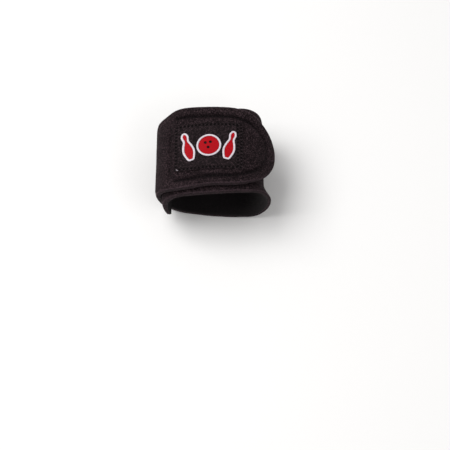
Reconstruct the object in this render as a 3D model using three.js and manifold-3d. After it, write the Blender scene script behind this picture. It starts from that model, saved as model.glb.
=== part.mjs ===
// A wrist wrap for bowling: one strip of neoprene cloth, wound one and a half times round the wrist.
// Its rounded free end, the flap, lies over the back of the wrist and is held by a hook panel sewn
// under it. A cloth patch with an embroidered ball and two pins is sewn on the flap.
// Millimetres. The wrap lies on its palm side: +Z is the back of the wrist, +Y runs up the forearm,
// +X is the thumb side of a right hand. Each piece is cut flat, then wound round the hollow.
import * as THREE from "three";
import { mergeVertices } from "three/addons/utils/BufferGeometryUtils.js";
import Module from "manifold-3d";

// The hollow that the wrist fills
const WRIST_BREADTH = 59; // thumb side to little-finger side
const BACK_RADIUS = 120; // the flat curve over the back of the wrist
const SHOULDER_RADIUS = 15; // either side of the back
const PALM_HEIGHT = 25; // widest level down to the palm side
const SIDE_RADIUS = 35.3; // the sides below the widest level
const CORNER_RADIUS = 13; // either side of the flat stretch that the wrap lies on
const SHOULDER_INSET = 1.8; // the forearm is rounder: its little-finger shoulder draws in this much
const SIDE_INSET = 0.8; // and it is narrower, by this much on each side
const HEM_FLARE = 6; // the thumb's root pushes the hand side's hem out
const HEM_FLARE_REACH = 12; // over this much of the width
const THUMB_SIDE = 0.25; // where the section leans this much to the thumb, the flare starts

// The strip
const BAND_THICKNESS = 4;
const BAND_WIDTH = 58;
const TIP_LENGTH = 38; // the half ellipse that ends the flap
const TIP_LIFT = 3.8; // how far the tip springs off the wrist
const LAYER_GAP = 0.4; // between the two turns where nothing lies between them
const RISE_LENGTH = 20; // the outer turn climbs over the inner end in this length
const CUT_ROUNDING = 0.8; // softened edge of the cut strip

// The hook panel under the flap
const PANEL_THICKNESS = 1.2;
const PANEL_INSET = 5.2; // from the flap's sides, on average
const PANEL_DROP = 0.8; // panel's middle below the strip's, towards the hand
const PANEL_TIP_INSET = 7.6; // from the flap's tip
const PANEL_CORNER = 4;

// The badge on the patch
const BALL_DIAMETER = 14.5;
const FINGER_HOLE = 2; // diameter of each of the ball's three holes
const PIN_HEIGHT = 20;
const PIN_BELLY = 6.6; // widest part of a pin
const PIN_LEAN = 14; // degrees, tops leaning outwards
const BADGE_GAP = 1.6; // between the ball's border and a pin's
const BORDER_WIDTH = 1.3; // satin stitch border
const BORDER_HEIGHT = 0.6;
const FILL_HEIGHT = 0.4;
const FILL_ROUNDING = 0.1;

// The patch that carries it
const PATCH_SIDE_MARGIN = 2.1; // from the badge to the patch's ends
const PATCH_TOP_MARGIN = 6.1; // and to its long sides
const PATCH_THICKNESS = 0.7;
const PATCH_ROUNDING = 0.2;
const PATCH_CORNER = 1.5;
const PATCH_FROM_TIP = 48.6; // patch centre to the flap's tip, along the strip
const PATCH_DROP = 1.4; // patch centre below the strip's middle, towards the hand

const SEAT_GAP = 0.3; // between pieces that lie on each other

// How the strip runs. turn: turns from the little-finger side, past the back at 0.25, the thumb side
// at 0.5 and the palm at 0.75. shift: the strip's centre towards the forearm, and width, its width,
// both as shares of the band's width.
const WINDING = [
  { turn: -0.12, shift: -0.054, width: 1 },
  { turn: 0, shift: -0.054, width: 1 },
  { turn: 0.12, shift: -0.061, width: 1 },
  { turn: 0.25, shift: -0.04, width: 1.01 },
  { turn: 0.38, shift: 0.012, width: 1.054 },
  { turn: 0.5, shift: 0.022, width: 1.03 },
  { turn: 0.75, shift: 0.02, width: 0.96 },
  { turn: 0.9, shift: 0.032, width: 0.876 },
  { turn: 1, shift: -0.001, width: 0.882 },
  { turn: 1.06, shift: -0.028, width: 0.934 },
  { turn: 1.12, shift: -0.025, width: 1.01 },
  { turn: 1.25, shift: 0, width: 0.975 },
  { turn: 1.46, shift: 0, width: 0.965 },
];

// The outer turn's marks, in turns: where the hook panel starts, in how much of a turn before it the
// gap for it opens, and where the tip springs off and ends
const PANEL_TURN = 1.093;
const PANEL_GAP_TURN = 0.09;
const LIFT_TURN = 1.42;
const TIP_TURN = 1.476;

// A bowling pin's half outline from foot to head, as shares of its height and of half its belly
const PIN_PROFILE = [
  { up: 0, out: 0.45 },
  { up: 0.12, out: 0.74 },
  { up: 0.32, out: 1 },
  { up: 0.52, out: 0.78 },
  { up: 0.7, out: 0.4 },
  { up: 0.86, out: 0.54 },
  { up: 0.96, out: 0.36 },
  { up: 1, out: 0.1 },
];
const PIN_ROWS = 16;

// The ball's finger holes, in hole diameters from its centre
const FINGER_HOLES = [
  { along: -1.1, across: 0.9 },
  { along: 0.5, across: 1.1 },
  { along: -0.2, across: -0.8 },
];

const STATION = 4; // length of strip between two rows of points
const TIP_STATIONS = 1.3; // times as many along the tip, whose outline is longer
const TIP_ROWS = Math.ceil((TIP_STATIONS * TIP_LENGTH) / STATION);
const CORNER_MIDDLE = 1 - Math.SQRT1_2; // a quarter circle's middle, in radii from both its sides
const COLUMNS = [-1, -0.85, -0.5, 0, 0.5, 0.85, 1];
const NARROW_COLUMNS = [-1, 0, 1];
const NOSE = 0.3; // half width left at a blank's pointed end
const SPINE_SAMPLES = 900;
const HOLE_SIDES = 12;
const WELD = 0.001; // points closer than this are one

// The value of a table's column at a place, on a smooth curve through its rows
function tableAt(table, key, column, place) {
  const last = table.length - 2;
  let i = 0;
  while (i < last && place > table[i + 1][key]) i += 1;
  const row = (k) => table[Math.min(Math.max(k, 0), table.length - 1)];
  const [a, b] = [row(i), row(i + 1)];
  const slope = (p, q) => (q[column] - p[column]) / (q[key] - p[key]);
  const span = b[key] - a[key];
  const t = Math.min(Math.max((place - a[key]) / span, 0), 1);
  const slopeA = i > 0 ? slope(row(i - 1), b) : slope(a, b);
  const slopeB = i < last ? slope(a, row(i + 2)) : slope(a, b);
  const [t2, t3] = [t * t, t * t * t];
  return (
    (2 * t3 - 3 * t2 + 1) * a[column] +
    (t3 - 2 * t2 + t) * span * slopeA +
    (3 * t2 - 2 * t3) * b[column] +
    (t3 - t2) * span * slopeB
  );
}

function smooth(from, to, place) {
  const t = Math.min(Math.max((place - from) / (to - from), 0), 1);
  return t * t * (3 - 2 * t);
}

// A quarter oval of two arcs: a long one that ends square at its reach, and a short one that ends
// square at its side. Gives the reach, and the angle that the short arc turns through.
function quarterOval(side, longRadius, radius) {
  const centreDrop = Math.sqrt((longRadius - radius) ** 2 - (side - radius) ** 2);
  return { reach: longRadius - centreDrop, shortTurn: Math.atan2(centreDrop, side - radius) };
}

// The hollow's outline as arcs, walked from the little-finger side over the back
const halfBreadth = WRIST_BREADTH / 2;
const back = quarterOval(halfBreadth, BACK_RADIUS, SHOULDER_RADIUS);
const palm = quarterOval(PALM_HEIGHT, SIDE_RADIUS, CORNER_RADIUS);
const restWidth = WRIST_BREADTH - 2 * palm.reach;
const QUARTER = Math.PI / 2;
const backArcs = [
  { radius: SHOULDER_RADIUS, turns: back.shortTurn },
  { radius: BACK_RADIUS, turns: 2 * (QUARTER - back.shortTurn) },
  { radius: SHOULDER_RADIUS, turns: back.shortTurn },
];
const palmArcs = [
  { radius: SIDE_RADIUS, turns: QUARTER - palm.shortTurn },
  { radius: CORNER_RADIUS, turns: palm.shortTurn },
  { radius: Infinity, turns: 0, length: restWidth },
  { radius: CORNER_RADIUS, turns: palm.shortTurn },
  { radius: SIDE_RADIUS, turns: QUARTER - palm.shortTurn },
];
const outline = [...backArcs, ...palmArcs].map((arc) => ({
  ...arc,
  length: arc.length ?? arc.radius * arc.turns,
}));
const lengthOf = (arcs) => arcs.reduce((sum, arc) => sum + arc.length, 0);
const PERIMETER = lengthOf(outline);

// Each quarter of a turn and the length of outline that it takes
const backHalf = lengthOf(outline.slice(0, backArcs.length)) / 2;
const palmHalf = PERIMETER / 2 - backHalf;
const quarterStarts = [0, backHalf, 2 * backHalf, 2 * backHalf + palmHalf, PERIMETER];

function distanceAt(turn) {
  const quarters = 4 * (turn - Math.floor(turn));
  const i = Math.min(Math.floor(quarters), 3);
  const [from, to] = [quarterStarts[i], quarterStarts[i + 1]];
  return Math.floor(turn) * PERIMETER + from + (to - from) * (quarters - i);
}

function turnAt(distance) {
  const whole = Math.floor(distance / PERIMETER);
  const left = distance - whole * PERIMETER;
  let i = 0;
  while (i < 3 && left > quarterStarts[i + 1]) i += 1;
  const [from, to] = [quarterStarts[i], quarterStarts[i + 1]];
  return whole + (i + (left - from) / (to - from)) / 4;
}

// The outline's point and outward normal at a distance along it
function hollowAt(distance) {
  let left = distance - Math.floor(distance / PERIMETER) * PERIMETER;
  let [x, z, heading] = [-halfBreadth, 0, QUARTER];
  for (const arc of outline) {
    const part = Math.min(left, arc.length);
    if (arc.turns) {
      const turned = heading - part / arc.radius;
      x += arc.radius * (Math.sin(heading) - Math.sin(turned));
      z += arc.radius * (Math.cos(turned) - Math.cos(heading));
      heading = turned;
    } else {
      x += part * Math.cos(heading);
      z += part * Math.sin(heading);
    }
    left -= part;
    if (left <= 0) break;
  }
  return { x, z, nx: -Math.sin(heading), nz: Math.cos(heading) };
}

// Where the inner end lies: past the flat and the climb, on the little-finger side of the palm
const arcsPastFlat = outline.slice(outline.findIndex((arc) => arc.radius === Infinity) + 1);
const flatEnd = PERIMETER - lengthOf(arcsPastFlat);
const innerEnd = flatEnd + RISE_LENGTH - PERIMETER;
const tipEnd = distanceAt(TIP_TURN);

// The height of the strip's middle over the hollow
function level(distance) {
  const turn = turnAt(distance);
  const climb = smooth(flatEnd, flatEnd + RISE_LENGTH, distance) * (BAND_THICKNESS + LAYER_GAP);
  const panelGap = PANEL_THICKNESS + 2 * SEAT_GAP - LAYER_GAP;
  const panel = smooth(PANEL_TURN - PANEL_GAP_TURN, PANEL_TURN, turn) * panelGap;
  const lift = TIP_LIFT * Math.max(0, (turn - LIFT_TURN) / (TIP_TURN - LIFT_TURN)) ** 2;
  return BAND_THICKNESS / 2 + climb + panel + lift;
}

// The strip's middle line, sampled with its own length, normal and turn
function makeSpine() {
  const samples = [];
  for (let i = 0; i <= SPINE_SAMPLES; i += 1) {
    const distance = innerEnd + ((tipEnd - innerEnd) * i) / SPINE_SAMPLES;
    const at = hollowAt(distance);
    const high = level(distance);
    samples.push({ turn: turnAt(distance), x: at.x + at.nx * high, z: at.z + at.nz * high });
  }
  samples.forEach((sample, i) => {
    const before = samples[Math.max(i - 1, 0)];
    const after = samples[Math.min(i + 1, SPINE_SAMPLES)];
    const run = Math.hypot(after.x - before.x, after.z - before.z);
    sample.nx = -(after.z - before.z) / run;
    sample.nz = (after.x - before.x) / run;
    sample.s = i ? before.s + Math.hypot(sample.x - before.x, sample.z - before.z) : 0;
  });
  return samples;
}
const spine = makeSpine();
const STRIP_LENGTH = spine[SPINE_SAMPLES].s;
const panelStart = spine.find((sample) => sample.turn > PANEL_TURN).s;

function spineAt(s) {
  let [low, high] = [0, SPINE_SAMPLES];
  while (high - low > 1) {
    const middle = (low + high) >> 1;
    if (spine[middle].s <= s) low = middle;
    else high = middle;
  }
  const [a, b] = [spine[low], spine[high]];
  const t = (s - a.s) / (b.s - a.s);
  const mix = (key) => a[key] + (b[key] - a[key]) * t;
  return { turn: mix("turn"), x: mix("x"), z: mix("z"), nx: mix("nx"), nz: mix("nz") };
}

// How far the wrist's shape moves the cloth out from its section: up runs from the hand side's hem
// to the forearm's, and hem is the distance to the cloth's own hem on the hand side
function push(y, hem, nx, nz) {
  const up = Math.min(Math.max(y / BAND_WIDTH + 0.5, 0), 1);
  const shoulder = (2 * Math.max(-nx, 0) * Math.max(nz, 0)) ** 2;
  const thumb = smooth(THUMB_SIDE, 1, nx);
  const flare = Math.max(0, 1 - hem / HEM_FLARE_REACH) ** 2;
  return HEM_FLARE * thumb * flare - SHOULDER_INSET * shoulder * up * up - SIDE_INSET * up * nx * nx;
}

// A point of a flat blank, wound on: s along the strip, w across it, h out from its middle
function wind(s, w, h) {
  const at = spineAt(s);
  const y = w + BAND_WIDTH * tableAt(WINDING, "turn", "shift", at.turn);
  const out = h + push(y, w + bandHalf(s), at.nx, at.nz);
  return new THREE.Vector3(at.x + at.nx * out, y, at.z + at.nz * out);
}

// A mesh with one name from points and triangles, welded, without its collapsed triangles
function solidMesh(name, points, triangles, material) {
  const raw = new THREE.BufferGeometry().setFromPoints(points).setIndex(triangles);
  const welded = mergeVertices(raw, WELD);
  const index = welded.index.array;
  const kept = [];
  for (let i = 0; i < index.length; i += 3) {
    const [a, b, c] = [index[i], index[i + 1], index[i + 2]];
    if (a !== b && b !== c && c !== a) kept.push(a, b, c);
  }
  welded.setIndex(kept);
  welded.computeVertexNormals();
  const mesh = new THREE.Mesh(welded, material);
  mesh.name = name;
  return mesh;
}

// A sheet between two heights. blank(inset) gives its rows, each {along, half}, as many for every
// inset, and place(along, across) puts them on the strip. The cut edge is softened by rounding.
function sheet(name, blank, place, low, high, rounding, columns, material) {
  const points = [];
  const triangles = [];
  const last = columns.length - 1;
  const add = (row, column, h) => {
    const [s, w] = place(row.along, row.half * column);
    points.push(wind(s, w, h));
    return points.length - 1;
  };
  const grid = (rows, h) => rows.map((row) => columns.map((column) => add(row, column, h)));
  const around = (ids) => [
    ...ids[0],
    ...ids.slice(1).map((row) => row[last]),
    ...ids[ids.length - 1].slice(0, last).reverse(),
    ...ids.slice(1, -1).map((row) => row[0]).reverse(),
  ];
  const face = (ids, flip) => {
    for (let i = 0; i + 1 < ids.length; i += 1)
      for (let j = 0; j < last; j += 1) {
        const [a, b, c, d] = [ids[i][j], ids[i + 1][j], ids[i + 1][j + 1], ids[i][j + 1]];
        triangles.push(...(flip ? [a, c, b, a, d, c] : [a, b, c, a, c, d]));
      }
  };
  const top = grid(blank(rounding), high);
  const bottom = grid(blank(rounding), low);
  face(top, false);
  face(bottom, true);
  const rims = [top, grid(blank(0), high - rounding), grid(blank(0), low + rounding), bottom];
  const loops = rims.map(around);
  for (let k = 0; k + 1 < loops.length; k += 1) {
    const [upper, lower] = [loops[k], loops[k + 1]];
    upper.forEach((a, i) => {
      const next = (i + 1) % upper.length;
      const [b, c, d] = [lower[i], lower[next], upper[next]];
      triangles.push(a, c, b, a, d, c);
    });
  }
  return solidMesh(name, points, triangles, material);
}

// Half the band's width at a place along the strip, before the tip rounds it off
function bandHalf(s) {
  return (BAND_WIDTH * tableAt(WINDING, "turn", "width", spineAt(s).turn)) / 2;
}

// Rows of a half ellipse that ends a blank
function tipRows(from, length, half) {
  const rows = [];
  for (let i = 1; i <= TIP_ROWS; i += 1) {
    const angle = (QUARTER * i) / TIP_ROWS;
    const along = from + length * Math.sin(angle);
    rows.push({ along, half: Math.max(NOSE, half(along) * Math.cos(angle)) });
  }
  return rows;
}

function bandBlank(inset) {
  const tipStart = STRIP_LENGTH - TIP_LENGTH;
  const steps = Math.ceil(tipStart / STATION);
  const rows = [];
  for (let i = 0; i <= steps; i += 1) {
    const along = Math.max(inset, (tipStart * i) / steps);
    rows.push({ along, half: bandHalf(along) - inset });
  }
  return [...rows, ...tipRows(tipStart, TIP_LENGTH - inset, (s) => bandHalf(s) - inset)];
}

function panelBlank(inset) {
  const end = STRIP_LENGTH - PANEL_TIP_INSET;
  const tipStart = STRIP_LENGTH - TIP_LENGTH;
  const half = (s) => bandHalf(s) - PANEL_INSET - inset;
  const corner = CORNER_MIDDLE * PANEL_CORNER;
  const rows = [
    { along: panelStart + inset, half: half(panelStart) - PANEL_CORNER },
    { along: panelStart + inset + corner, half: half(panelStart) - corner },
  ];
  const from = panelStart + PANEL_CORNER;
  const steps = Math.ceil((tipStart - from) / STATION);
  for (let i = 0; i <= steps; i += 1) {
    const along = from + ((tipStart - from) * i) / steps;
    rows.push({ along, half: half(along) });
  }
  return [...rows, ...tipRows(tipStart, end - tipStart - inset, half)];
}

// The badge's reach from its centre, along the strip and across it
const pinLean = THREE.MathUtils.degToRad(PIN_LEAN);
const pinSpread = BALL_DIAMETER / 2 + BORDER_WIDTH + BADGE_GAP + PIN_BELLY / 2;
const badgeReach = pinSpread + (PIN_HEIGHT / 2) * Math.sin(pinLean) + (PIN_BELLY + BORDER_WIDTH) / 2;
const badgeRise = (PIN_HEIGHT + BORDER_WIDTH) / 2;

// A rounded rectangle, centred on its own middle
const patchReach = badgeReach + PATCH_SIDE_MARGIN;
const patchRows = Math.ceil((2 * patchReach) / STATION);

function patchBlank(inset) {
  const reach = patchReach - inset;
  const half = badgeRise + PATCH_TOP_MARGIN - inset;
  const drop = CORNER_MIDDLE * PATCH_CORNER;
  const span = reach - PATCH_CORNER;
  const end = [
    { along: reach, half: half - PATCH_CORNER },
    { along: reach - drop, half: half - drop },
    { along: span, half },
  ];
  const middle = [];
  for (let i = 1; i < patchRows; i += 1) {
    middle.push({ along: -span + (2 * span * i) / patchRows, half });
  }
  return [...end.map((row) => ({ ...row, along: -row.along })), ...middle, ...end.toReversed()];
}

// The badge's outlines, each a closed loop of flat points [along, across]
const BALL_POINTS = 28;
function ballOutline() {
  return Array.from({ length: BALL_POINTS }, (_, i) => {
    const angle = (-2 * Math.PI * i) / BALL_POINTS;
    return [(BALL_DIAMETER / 2) * Math.cos(angle), (BALL_DIAMETER / 2) * Math.sin(angle)];
  });
}

// A fill lies inside its border
const fillInset = BORDER_WIDTH / 2 + SEAT_GAP;

function ballBlank(inset) {
  const radius = BALL_DIAMETER / 2 - fillInset - inset;
  const rows = [];
  for (let i = 0; i <= BALL_POINTS / 2; i += 1) {
    const angle = (2 * Math.PI * i) / BALL_POINTS;
    const half = Math.max(NOSE, radius * Math.sin(angle));
    rows.push({ along: -radius * Math.cos(angle), half });
  }
  return rows;
}

// A pin stands across the strip, foot towards the hand
function pinHalf(up) {
  return (PIN_BELLY / 2) * tableAt(PIN_PROFILE, "up", "out", up);
}

function pinOutline() {
  const side = (sign) =>
    Array.from({ length: PIN_ROWS + 1 }, (_, i) => {
      const up = i / PIN_ROWS;
      return [sign * pinHalf(up), (up - 0.5) * PIN_HEIGHT];
    });
  return [...side(1), ...side(-1).reverse()];
}

function pinBlank(inset) {
  const height = PIN_HEIGHT - 2 * (fillInset + inset);
  return Array.from({ length: PIN_ROWS + 1 }, (_, i) => {
    const up = i / PIN_ROWS;
    return { along: (up - 0.5) * height, half: Math.max(NOSE, pinHalf(up) - fillInset - inset) };
  });
}

// A raised border that follows a closed outline
function border(name, outlinePoints, place, base, material) {
  const half = BORDER_WIDTH / 2;
  const section = [
    { out: -half, up: 0 },
    { out: half, up: 0 },
    { out: half, up: BORDER_HEIGHT / 2 },
    { out: half / 2, up: BORDER_HEIGHT },
    { out: -half / 2, up: BORDER_HEIGHT },
    { out: -half, up: BORDER_HEIGHT / 2 },
  ];
  const count = outlinePoints.length;
  const points = [];
  outlinePoints.forEach(([a, b], i) => {
    const before = outlinePoints[(i + count - 1) % count];
    const after = outlinePoints[(i + 1) % count];
    const run = Math.hypot(after[0] - before[0], after[1] - before[1]);
    const [outA, outB] = [(after[1] - before[1]) / run, -(after[0] - before[0]) / run];
    for (const corner of section) {
      const [s, w] = place(a + outA * corner.out, b + outB * corner.out);
      points.push(wind(s, w, base + corner.up));
    }
  });
  const triangles = [];
  const sides = section.length;
  for (let i = 0; i < count; i += 1)
    for (let k = 0; k < sides; k += 1) {
      const [i2, k2] = [(i + 1) % count, (k + 1) % sides];
      const [a, b, c, d] = [i * sides + k, i2 * sides + k, i2 * sides + k2, i * sides + k2];
      triangles.push(a, b, c, a, c, d);
    }
  return solidMesh(name, points, triangles, material);
}

// Finishes
const cloth = new THREE.MeshStandardMaterial({ color: 0x2a2226, roughness: 0.95, metalness: 0 });
const hook = new THREE.MeshStandardMaterial({ color: 0x1a1819, roughness: 0.6, metalness: 0 });
const patchCloth = new THREE.MeshStandardMaterial({ color: 0x251f22, roughness: 0.85, metalness: 0 });
const redThread = new THREE.MeshStandardMaterial({ color: 0xb81b2a, roughness: 0.5, metalness: 0 });
const whiteThread = new THREE.MeshStandardMaterial({ color: 0xe8e4e6, roughness: 0.5, metalness: 0 });

// The pieces, from the inside out
const onStrip = (along, across) => [along, across];
const onPanel = (along, across) => [along, across - PANEL_DROP];
const patchMiddle = STRIP_LENGTH - PATCH_FROM_TIP;
const onPatch = (along, across) => [patchMiddle + along, across - PATCH_DROP];
const face = BAND_THICKNESS / 2;
const patchBase = face + SEAT_GAP;
const patchTop = patchBase + PATCH_THICKNESS;
const badgeBase = patchTop + SEAT_GAP;
const fillTop = badgeBase + FILL_HEIGHT;

function makeBand() {
  return sheet("wrap_band", bandBlank, onStrip, -face, face, CUT_ROUNDING, COLUMNS, cloth);
}

function makeHookPanel() {
  const top = -face - SEAT_GAP;
  const bottom = top - PANEL_THICKNESS;
  return sheet("hook_panel", panelBlank, onPanel, bottom, top, FILL_ROUNDING, COLUMNS, hook);
}

function makePatch() {
  return sheet(
    "label_patch", patchBlank, onPatch, patchBase, patchTop, PATCH_ROUNDING, COLUMNS, patchCloth,
  );
}

// A pin's border and fill: sign is -1 on the little-finger side and 1 on the thumb side
function makePin(side, sign) {
  const lean = pinLean * sign;
  const place = (out, up) =>
    onPatch(
      sign * pinSpread + out * Math.cos(lean) + up * Math.sin(lean),
      up * Math.cos(lean) - out * Math.sin(lean),
    );
  const upright = (up, out) => place(-out, up);
  const fill = sheet(
    `pin_${side}_fill`, pinBlank, upright, badgeBase, fillTop, FILL_ROUNDING, NARROW_COLUMNS, redThread,
  );
  return [border(`pin_${side}_border`, pinOutline(), place, badgeBase, whiteThread), fill];
}

// A closed mesh as a solid that can be cut
function toSolid(wasm, geometry) {
  const bare = geometry.clone();
  for (const name of ["normal", "uv"]) if (bare.getAttribute(name)) bare.deleteAttribute(name);
  const merged = mergeVertices(bare, WELD);
  const vertProperties = merged.getAttribute("position").array;
  const triVerts = new Uint32Array(merged.index.array);
  return new wasm.Manifold(new wasm.Mesh({ numProp: 3, vertProperties, triVerts }));
}

// The ball's border, and its fill with the finger holes cut through
function makeBall(wasm) {
  const whole = sheet(
    "ball_fill", ballBlank, onPatch, badgeBase, fillTop, FILL_ROUNDING, COLUMNS, redThread,
  );
  let solid = toSolid(wasm, whole.geometry);
  for (const hole of FINGER_HOLES) {
    const [s, w] = onPatch(hole.along * FINGER_HOLE, hole.across * FINGER_HOLE);
    const low = wind(s, w, patchTop);
    const high = wind(s, w, fillTop + SEAT_GAP);
    const radius = FINGER_HOLE / 2;
    const drill = new THREE.CylinderGeometry(radius, radius, low.distanceTo(high), HOLE_SIDES);
    const axis = high.clone().sub(low).normalize();
    const turn = new THREE.Quaternion().setFromUnitVectors(new THREE.Vector3(0, 1, 0), axis);
    const middle = low.add(high).multiplyScalar(0.5);
    drill.applyQuaternion(turn).translate(middle.x, middle.y, middle.z);
    solid = solid.subtract(toSolid(wasm, drill));
  }
  const { vertProperties, triVerts } = solid.getMesh();
  const drilled = new THREE.BufferGeometry();
  drilled.setAttribute("position", new THREE.BufferAttribute(vertProperties, 3));
  drilled.setIndex(new THREE.BufferAttribute(triVerts, 1));
  const fill = new THREE.Mesh(drilled, redThread);
  fill.name = "ball_fill";
  return [border("ball_border", ballOutline(), onPatch, badgeBase, whiteThread), fill];
}

const wasm = await Module();
wasm.setup();

const wrap = new THREE.Group();
wrap.add(makeBand(), makeHookPanel(), makePatch());
wrap.add(...makeBall(wasm), ...makePin("left", -1), ...makePin("right", 1));

// The origin is the middle of what the wrap lies on
const extent = new THREE.Box3().setFromObject(wrap);
const centre = extent.getCenter(new THREE.Vector3());
wrap.position.set(-centre.x, -centre.y, -extent.min.z);

export default wrap;
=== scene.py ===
# %% [markdown]
# A wrist wrap for bowling.
#
# The real thing is one strip of 4 mm neoprene, cut from a sheet and wound one and a half times round
# the wrist. A hook panel sewn under its rounded end, the flap, grips the brushed face of the first
# turn. A cloth patch with an embroidered badge is sewn on the flap.
#
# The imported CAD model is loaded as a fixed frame. Every piece below is built in its place in that
# frame, at the size that the CAD gives it, with the detail that a solid leaves out.

# %% Load the frame
import math

import bmesh
import bpy
import numpy as np
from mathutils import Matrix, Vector
from mathutils.kdtree import KDTree


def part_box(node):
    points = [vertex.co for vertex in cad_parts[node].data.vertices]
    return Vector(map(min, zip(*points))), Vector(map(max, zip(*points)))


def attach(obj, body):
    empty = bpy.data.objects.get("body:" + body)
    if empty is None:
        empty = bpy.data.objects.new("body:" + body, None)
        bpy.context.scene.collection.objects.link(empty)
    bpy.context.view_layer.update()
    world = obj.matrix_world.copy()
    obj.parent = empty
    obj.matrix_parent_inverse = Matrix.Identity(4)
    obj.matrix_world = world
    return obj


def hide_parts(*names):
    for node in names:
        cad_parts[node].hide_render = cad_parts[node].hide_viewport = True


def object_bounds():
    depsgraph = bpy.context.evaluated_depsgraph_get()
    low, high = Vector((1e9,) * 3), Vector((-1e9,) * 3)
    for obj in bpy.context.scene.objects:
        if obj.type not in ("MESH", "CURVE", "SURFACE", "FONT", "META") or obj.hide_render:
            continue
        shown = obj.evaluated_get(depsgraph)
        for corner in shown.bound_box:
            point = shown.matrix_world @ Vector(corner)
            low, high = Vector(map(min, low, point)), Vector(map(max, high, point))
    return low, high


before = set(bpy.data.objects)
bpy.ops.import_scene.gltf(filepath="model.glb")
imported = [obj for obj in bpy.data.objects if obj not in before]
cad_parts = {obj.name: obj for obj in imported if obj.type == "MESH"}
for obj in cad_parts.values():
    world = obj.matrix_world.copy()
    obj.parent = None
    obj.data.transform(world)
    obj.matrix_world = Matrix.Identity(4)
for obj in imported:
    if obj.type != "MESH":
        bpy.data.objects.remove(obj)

MM = 0.001
cad_low, cad_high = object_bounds()

# %% [markdown]
# Each piece starts flat, as it would on the cutting table, and is then wound onto the wrist. So the
# script first needs the line that the strip follows. It could be read off the CAD mesh, but that mesh
# has only a few flat faces. It is worked out again from the same sizes instead, as fine as needed.
#
# The section of the hollow is walked as a chain of arcs: over the back of the wrist, down the thumb
# side, along the flat stretch that the wrap lies on, and up the little-finger side.

# %% The section of the wrist
WRIST_BREADTH = 59.0
BACK_RADIUS = 120.0  # the flat curve over the back of the wrist
SHOULDER_RADIUS = 15.0  # either side of the back
PALM_HEIGHT = 25.0  # widest level down to the palm side
SIDE_RADIUS = 35.3  # the sides below the widest level
CORNER_RADIUS = 13.0  # either side of the flat stretch
OUTLINE_STEP = 0.1


def quarter_oval(side, long_radius, radius):
    """The reach of a quarter oval of two arcs, and the angle that its short arc turns through."""
    drop = math.sqrt((long_radius - radius) ** 2 - (side - radius) ** 2)
    return long_radius - drop, math.atan2(drop, side - radius)


def walk(arcs):
    """Distance, x, z and heading along a chain of (length, angle) arcs that starts upwards."""
    bends = []
    for length, angle in arcs:
        steps = math.ceil(length / OUTLINE_STEP)
        bends += [(length / steps, angle / steps)] * steps
    run, bend = np.array(bends).T
    heading = math.pi / 2 - np.concatenate([[0], np.cumsum(bend)])
    middle = (heading[1:] + heading[:-1]) / 2
    x = np.concatenate([[0], np.cumsum(run * np.cos(middle))]) - WRIST_BREADTH / 2
    z = np.concatenate([[0], np.cumsum(run * np.sin(middle))])
    return np.concatenate([[0], np.cumsum(run)]), x, z, heading


back_reach, back_turn = quarter_oval(WRIST_BREADTH / 2, BACK_RADIUS, SHOULDER_RADIUS)
palm_reach, palm_turn = quarter_oval(PALM_HEIGHT, SIDE_RADIUS, CORNER_RADIUS)
shoulder = (SHOULDER_RADIUS * back_turn, back_turn)
back_angle = math.pi - 2 * back_turn
back_arc = (BACK_RADIUS * back_angle, back_angle)
side_angle = math.pi / 2 - palm_turn
side_arc = (SIDE_RADIUS * side_angle, side_angle)
corner = (CORNER_RADIUS * palm_turn, palm_turn)
flat_stretch = (WRIST_BREADTH - 2 * palm_reach, 0)
round_wrist = [shoulder, back_arc, shoulder, side_arc, corner, flat_stretch, corner, side_arc]

walked, walked_x, walked_z, walked_heading = walk(round_wrist)
perimeter = walked[-1]
back_half = shoulder[0] + back_arc[0] / 2
palm_half = perimeter / 2 - back_half
print("round the wrist:", round(perimeter, 1), "mm; closes to", round(abs(walked_z[-1]), 3), "mm")

# %% [markdown]
# The strip's middle line lies half its thickness outside the hollow. It climbs over its own inner end,
# then makes room for the hook panel, and its tip springs off. The cloth also drifts towards the hand
# or the forearm as it goes round, and narrows under tension on the little-finger side. A short table
# gives that drift and width. A smooth curve through the rows keeps the hems fair.

# %% The line that the strip follows
BAND_THICKNESS = 4.0
BAND_WIDTH = 58.0
LAYER_GAP = 0.4  # between the two turns where nothing lies between them
RISE_LENGTH = 20.0  # the outer turn climbs over the inner end in this length
TIP_LIFT = 3.8  # how far the tip springs off
SEAT_GAP = 0.3  # between pieces that lie on each other
PANEL_THICKNESS = 1.2
# places along the strip, in turns from the little-finger side
PANEL_TURN = 1.093  # where the hook panel starts
PANEL_GAP_TURN = 0.09  # the strip makes room for it over this much before
LIFT_TURN = 1.42  # where the tip starts to spring off
TIP_TURN = 1.476
SPINE_SAMPLES = 1800

# turn, shift of the strip's centre towards the forearm, width, both as shares of the band's width
WINDING = np.array([
    (-0.12, -0.054, 1),
    (0, -0.054, 1),
    (0.12, -0.061, 1),
    (0.25, -0.04, 1.01),
    (0.38, 0.012, 1.054),
    (0.5, 0.022, 1.03),
    (0.75, 0.02, 0.96),
    (0.9, 0.032, 0.876),
    (1, -0.001, 0.882),
    (1.06, -0.028, 0.934),
    (1.12, -0.025, 1.01),
    (1.25, 0, 0.975),
    (1.46, 0, 0.965),
])


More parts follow.
